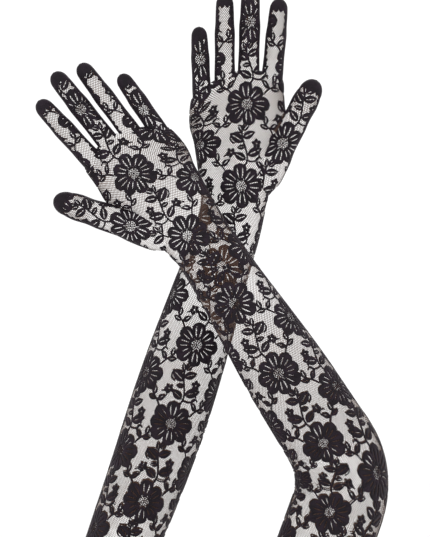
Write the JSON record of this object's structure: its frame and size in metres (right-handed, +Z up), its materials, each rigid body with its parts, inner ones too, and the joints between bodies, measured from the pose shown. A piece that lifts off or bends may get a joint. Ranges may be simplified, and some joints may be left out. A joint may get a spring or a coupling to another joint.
{
  "type": "pair of opera gloves",
  "caption": "Pair of long stretch lace opera gloves in worn shape, crossed at the wrists, with bending elbows, wrists, fingers and thumbs.",
  "frame": {"origin": "centre of the right glove's cuff opening, on its edge", "axes": "+Z up the arms towards the fingertips, +X towards the left glove's elbow, palms face -Y"},
  "size_m": [0.3042, 0.1361, 0.5593],
  "materials": {
    "lace": "stretch floral lace, net ground with raised motifs",
    "dense_lace": "dense lace strips and doubled hem",
    "thread": "overlock and twin-needle thread",
    "elastic": "covered flat elastic"
  },
  "bodies": {
    "right_upper": {"right_cuff_hem": "dense_lace", "right_cuff_elastic": "elastic", "right_hem_stitching": "thread", "right_upper_sleeve": "lace", "right_upper_seam": "thread"},
    "right_forearm": {"right_forearm_sleeve": "lace", "right_forearm_seam": "thread"},
    "right_hand": {"right_palm_panel": "lace", "right_back_panel": "lace", "right_side_seam": "thread", "right_thumb_seam": "thread", "right_thumb_base": "lace"},
    "right_index_lower": {"right_index_root": "lace", "right_index_root_sides": "dense_lace"},
    "right_index_upper": {"right_index_tip": "lace", "right_index_tip_sides": "dense_lace"},
    "right_middle_lower": {"right_middle_root": "lace", "right_middle_root_sides": "dense_lace"},
    "right_middle_upper": {"right_middle_tip": "lace", "right_middle_tip_sides": "dense_lace"},
    "right_ring_lower": {"right_ring_root": "lace", "right_ring_root_sides": "dense_lace"},
    "right_ring_upper": {"right_ring_tip": "lace", "right_ring_tip_sides": "dense_lace"},
    "right_little_lower": {"right_little_root": "lace", "right_little_root_sides": "dense_lace"},
    "right_little_upper": {"right_little_tip": "lace", "right_little_tip_sides": "dense_lace"},
    "right_thumb_lower": {"right_thumb_root": "lace"},
    "right_thumb_upper": {"right_thumb_tip": "lace"},
    "left_upper": {"left_cuff_hem": "dense_lace", "left_cuff_elastic": "elastic", "left_hem_stitching": "thread", "left_upper_sleeve": "lace", "left_upper_seam": "thread"},
    "left_forearm": {"left_forearm_sleeve": "lace", "left_forearm_seam": "thread"},
    "left_hand": {"left_palm_panel": "lace", "left_back_panel": "lace", "left_side_seam": "thread", "left_thumb_seam": "thread", "left_thumb_base": "lace"},
    "left_index_lower": {"left_index_root": "lace", "left_index_root_sides": "dense_lace"},
    "left_index_upper": {"left_index_tip": "lace", "left_index_tip_sides": "dense_lace"},
    "left_middle_lower": {"left_middle_root": "lace", "left_middle_root_sides": "dense_lace"},
    "left_middle_upper": {"left_middle_tip": "lace", "left_middle_tip_sides": "dense_lace"},
    "left_ring_lower": {"left_ring_root": "lace", "left_ring_root_sides": "dense_lace"},
    "left_ring_upper": {"left_ring_tip": "lace", "left_ring_tip_sides": "dense_lace"},
    "left_little_lower": {"left_little_root": "lace", "left_little_root_sides": "dense_lace"},
    "left_little_upper": {"left_little_tip": "lace", "left_little_tip_sides": "dense_lace"},
    "left_thumb_lower": {"left_thumb_root": "lace"},
    "left_thumb_upper": {"left_thumb_tip": "lace"}
  },
  "joints": [
    {"name": "right_elbow", "type": "hinge", "parent": "right_upper", "child": "right_forearm", "pos_m": [0.04972, 0, 0.13088], "axis": [0, 1, 0], "range_deg": [-42.3, 3.7]},
    {"name": "right_wrist", "type": "hinge", "parent": "right_forearm", "child": "right_hand", "pos_m": [0.12055, 0, 0.34759], "axis": [0.9976, 0, -0.0698], "range_deg": [-50, 12]},
    {"name": "right_index_root_bend", "type": "hinge", "parent": "right_hand", "child": "right_index_lower", "pos_m": [0.15293, 0, 0.46087], "axis": [0.9954, 0, -0.0958], "range_deg": [0, 75]},
    {"name": "right_index_middle_bend", "type": "hinge", "parent": "right_index_lower", "child": "right_index_upper", "pos_m": [0.15643, 0, 0.49727], "axis": [0.9954, 0, -0.0958], "range_deg": [0, 90]},
    {"name": "right_middle_root_bend", "type": "hinge", "parent": "right_hand", "child": "right_middle_lower", "pos_m": [0.13306, 0, 0.46484], "axis": [0.9997, 0, -0.0262], "range_deg": [0, 75]},
    {"name": "right_middle_middle_bend", "type": "hinge", "parent": "right_middle_lower", "child": "right_middle_upper", "pos_m": [0.13411, 0, 0.5051], "axis": [0.9997, 0, -0.0262], "range_deg": [0, 90]},
    {"name": "right_ring_root_bend", "type": "hinge", "parent": "right_hand", "child": "right_ring_lower", "pos_m": [0.1129, 0, 0.46042], "axis": [1, 0, 0], "range_deg": [0, 75]},
    {"name": "right_ring_middle_bend", "type": "hinge", "parent": "right_ring_lower", "child": "right_ring_upper", "pos_m": [0.1129, 0, 0.49911], "axis": [1, 0, 0], "range_deg": [0, 90]},
    {"name": "right_little_root_bend", "type": "hinge", "parent": "right_hand", "child": "right_little_lower", "pos_m": [0.09344, 0, 0.44873], "axis": [0.999, 0, 0.0436], "range_deg": [0, 75]},
    {"name": "right_little_middle_bend", "type": "hinge", "parent": "right_little_lower", "child": "right_little_upper", "pos_m": [0.09212, 0, 0.47891], "axis": [0.999, 0, 0.0436], "range_deg": [0, 90]},
    {"name": "right_thumb_root_bend", "type": "hinge", "parent": "right_hand", "child": "right_thumb_lower", "pos_m": [0.17012, 0, 0.42142], "axis": [0.8829, 0, -0.4695], "range_deg": [0, 45]},
    {"name": "right_thumb_middle_bend", "type": "hinge", "parent": "right_thumb_lower", "child": "right_thumb_upper", "pos_m": [0.17983, 0, 0.43968], "axis": [0.8829, 0, -0.4695], "range_deg": [0, 60]},
    {"name": "gloves_apart", "type": "slide", "parent": "right_upper", "child": "left_upper", "axis": [0, -1, 0], "range_m": [0, 0.25]},
    {"name": "left_elbow", "type": "hinge", "parent": "left_upper", "child": "left_forearm", "pos_m": [0.21855, -0.05066, 0.1276], "axis": [0, 1, 0], "range_deg": [-3, 52]},
    {"name": "left_wrist", "type": "hinge", "parent": "left_forearm", "child": "left_hand", "pos_m": [0.09605, -0.05066, 0.31989], "axis": [0.7547, 0, 0.6561], "range_deg": [-5, 60]},
    {"name": "left_index_root_bend", "type": "hinge", "parent": "left_hand", "child": "left_index_lower", "pos_m": [0.00202, -0.05066, 0.39087], "axis": [0.7373, 0, 0.6756], "range_deg": [0, 75]},
    {"name": "left_index_middle_bend", "type": "hinge", "parent": "left_index_lower", "child": "left_index_upper", "pos_m": [-0.02269, -0.05066, 0.41784], "axis": [0.7373, 0, 0.6756], "range_deg": [0, 90]},
    {"name": "left_middle_root_bend", "type": "hinge", "parent": "left_hand", "child": "left_middle_lower", "pos_m": [0.0155, -0.05066, 0.406], "axis": [0.7826, 0, 0.6225], "range_deg": [0, 75]},
    {"name": "left_middle_middle_bend", "type": "hinge", "parent": "left_middle_lower", "child": "left_middle_upper", "pos_m": [-0.00958, -0.05066, 0.43752], "axis": [0.7826, 0, 0.6225], "range_deg": [0, 90]},
    {"name": "left_ring_root_bend", "type": "hinge", "parent": "left_hand", "child": "left_ring_lower", "pos_m": [0.03426, -0.05066, 0.4146], "axis": [0.7986, 0, 0.6018], "range_deg": [0, 75]},
    {"name": "left_ring_middle_bend", "type": "hinge", "parent": "left_ring_lower", "child": "left_ring_upper", "pos_m": [0.01098, -0.05066, 0.4455], "axis": [0.7986, 0, 0.6018], "range_deg": [0, 90]},
    {"name": "left_little_root_bend", "type": "hinge", "parent": "left_hand", "child": "left_little_lower", "pos_m": [0.05683, -0.05066, 0.41698], "axis": [0.8241, 0, 0.5664], "range_deg": [0, 75]},
    {"name": "left_little_middle_bend", "type": "hinge", "parent": "left_little_lower", "child": "left_little_upper", "pos_m": [0.03972, -0.05066, 0.44188], "axis": [0.8241, 0, 0.5664], "range_deg": [0, 90]},
    {"name": "left_thumb_root_bend", "type": "hinge", "parent": "left_hand", "child": "left_thumb_lower", "pos_m": [0.01026, -0.05066, 0.34466], "axis": [0.3256, 0, 0.9455], "range_deg": [0, 45]},
    {"name": "left_thumb_middle_bend", "type": "hinge", "parent": "left_thumb_lower", "child": "left_thumb_upper", "pos_m": [-0.00929, -0.05066, 0.35139], "axis": [0.3256, 0, 0.9455], "range_deg": [0, 60]}
  ],
  "couplings": [
    {"joint": "right_index_middle_bend", "follows": "right_index_root_bend", "ratio": 1.2},
    {"joint": "right_middle_middle_bend", "follows": "right_middle_root_bend", "ratio": 1.2},
    {"joint": "right_ring_middle_bend", "follows": "right_ring_root_bend", "ratio": 1.2},
    {"joint": "right_little_middle_bend", "follows": "right_little_root_bend", "ratio": 1.2},
    {"joint": "right_thumb_middle_bend", "follows": "right_thumb_root_bend", "ratio": 1.3333},
    {"joint": "left_index_middle_bend", "follows": "left_index_root_bend", "ratio": 1.2},
    {"joint": "left_middle_middle_bend", "follows": "left_middle_root_bend", "ratio": 1.2},
    {"joint": "left_ring_middle_bend", "follows": "left_ring_root_bend", "ratio": 1.2},
    {"joint": "left_little_middle_bend", "follows": "left_little_root_bend", "ratio": 1.2},
    {"joint": "left_thumb_middle_bend", "follows": "left_thumb_root_bend", "ratio": 1.3333}
  ]
}
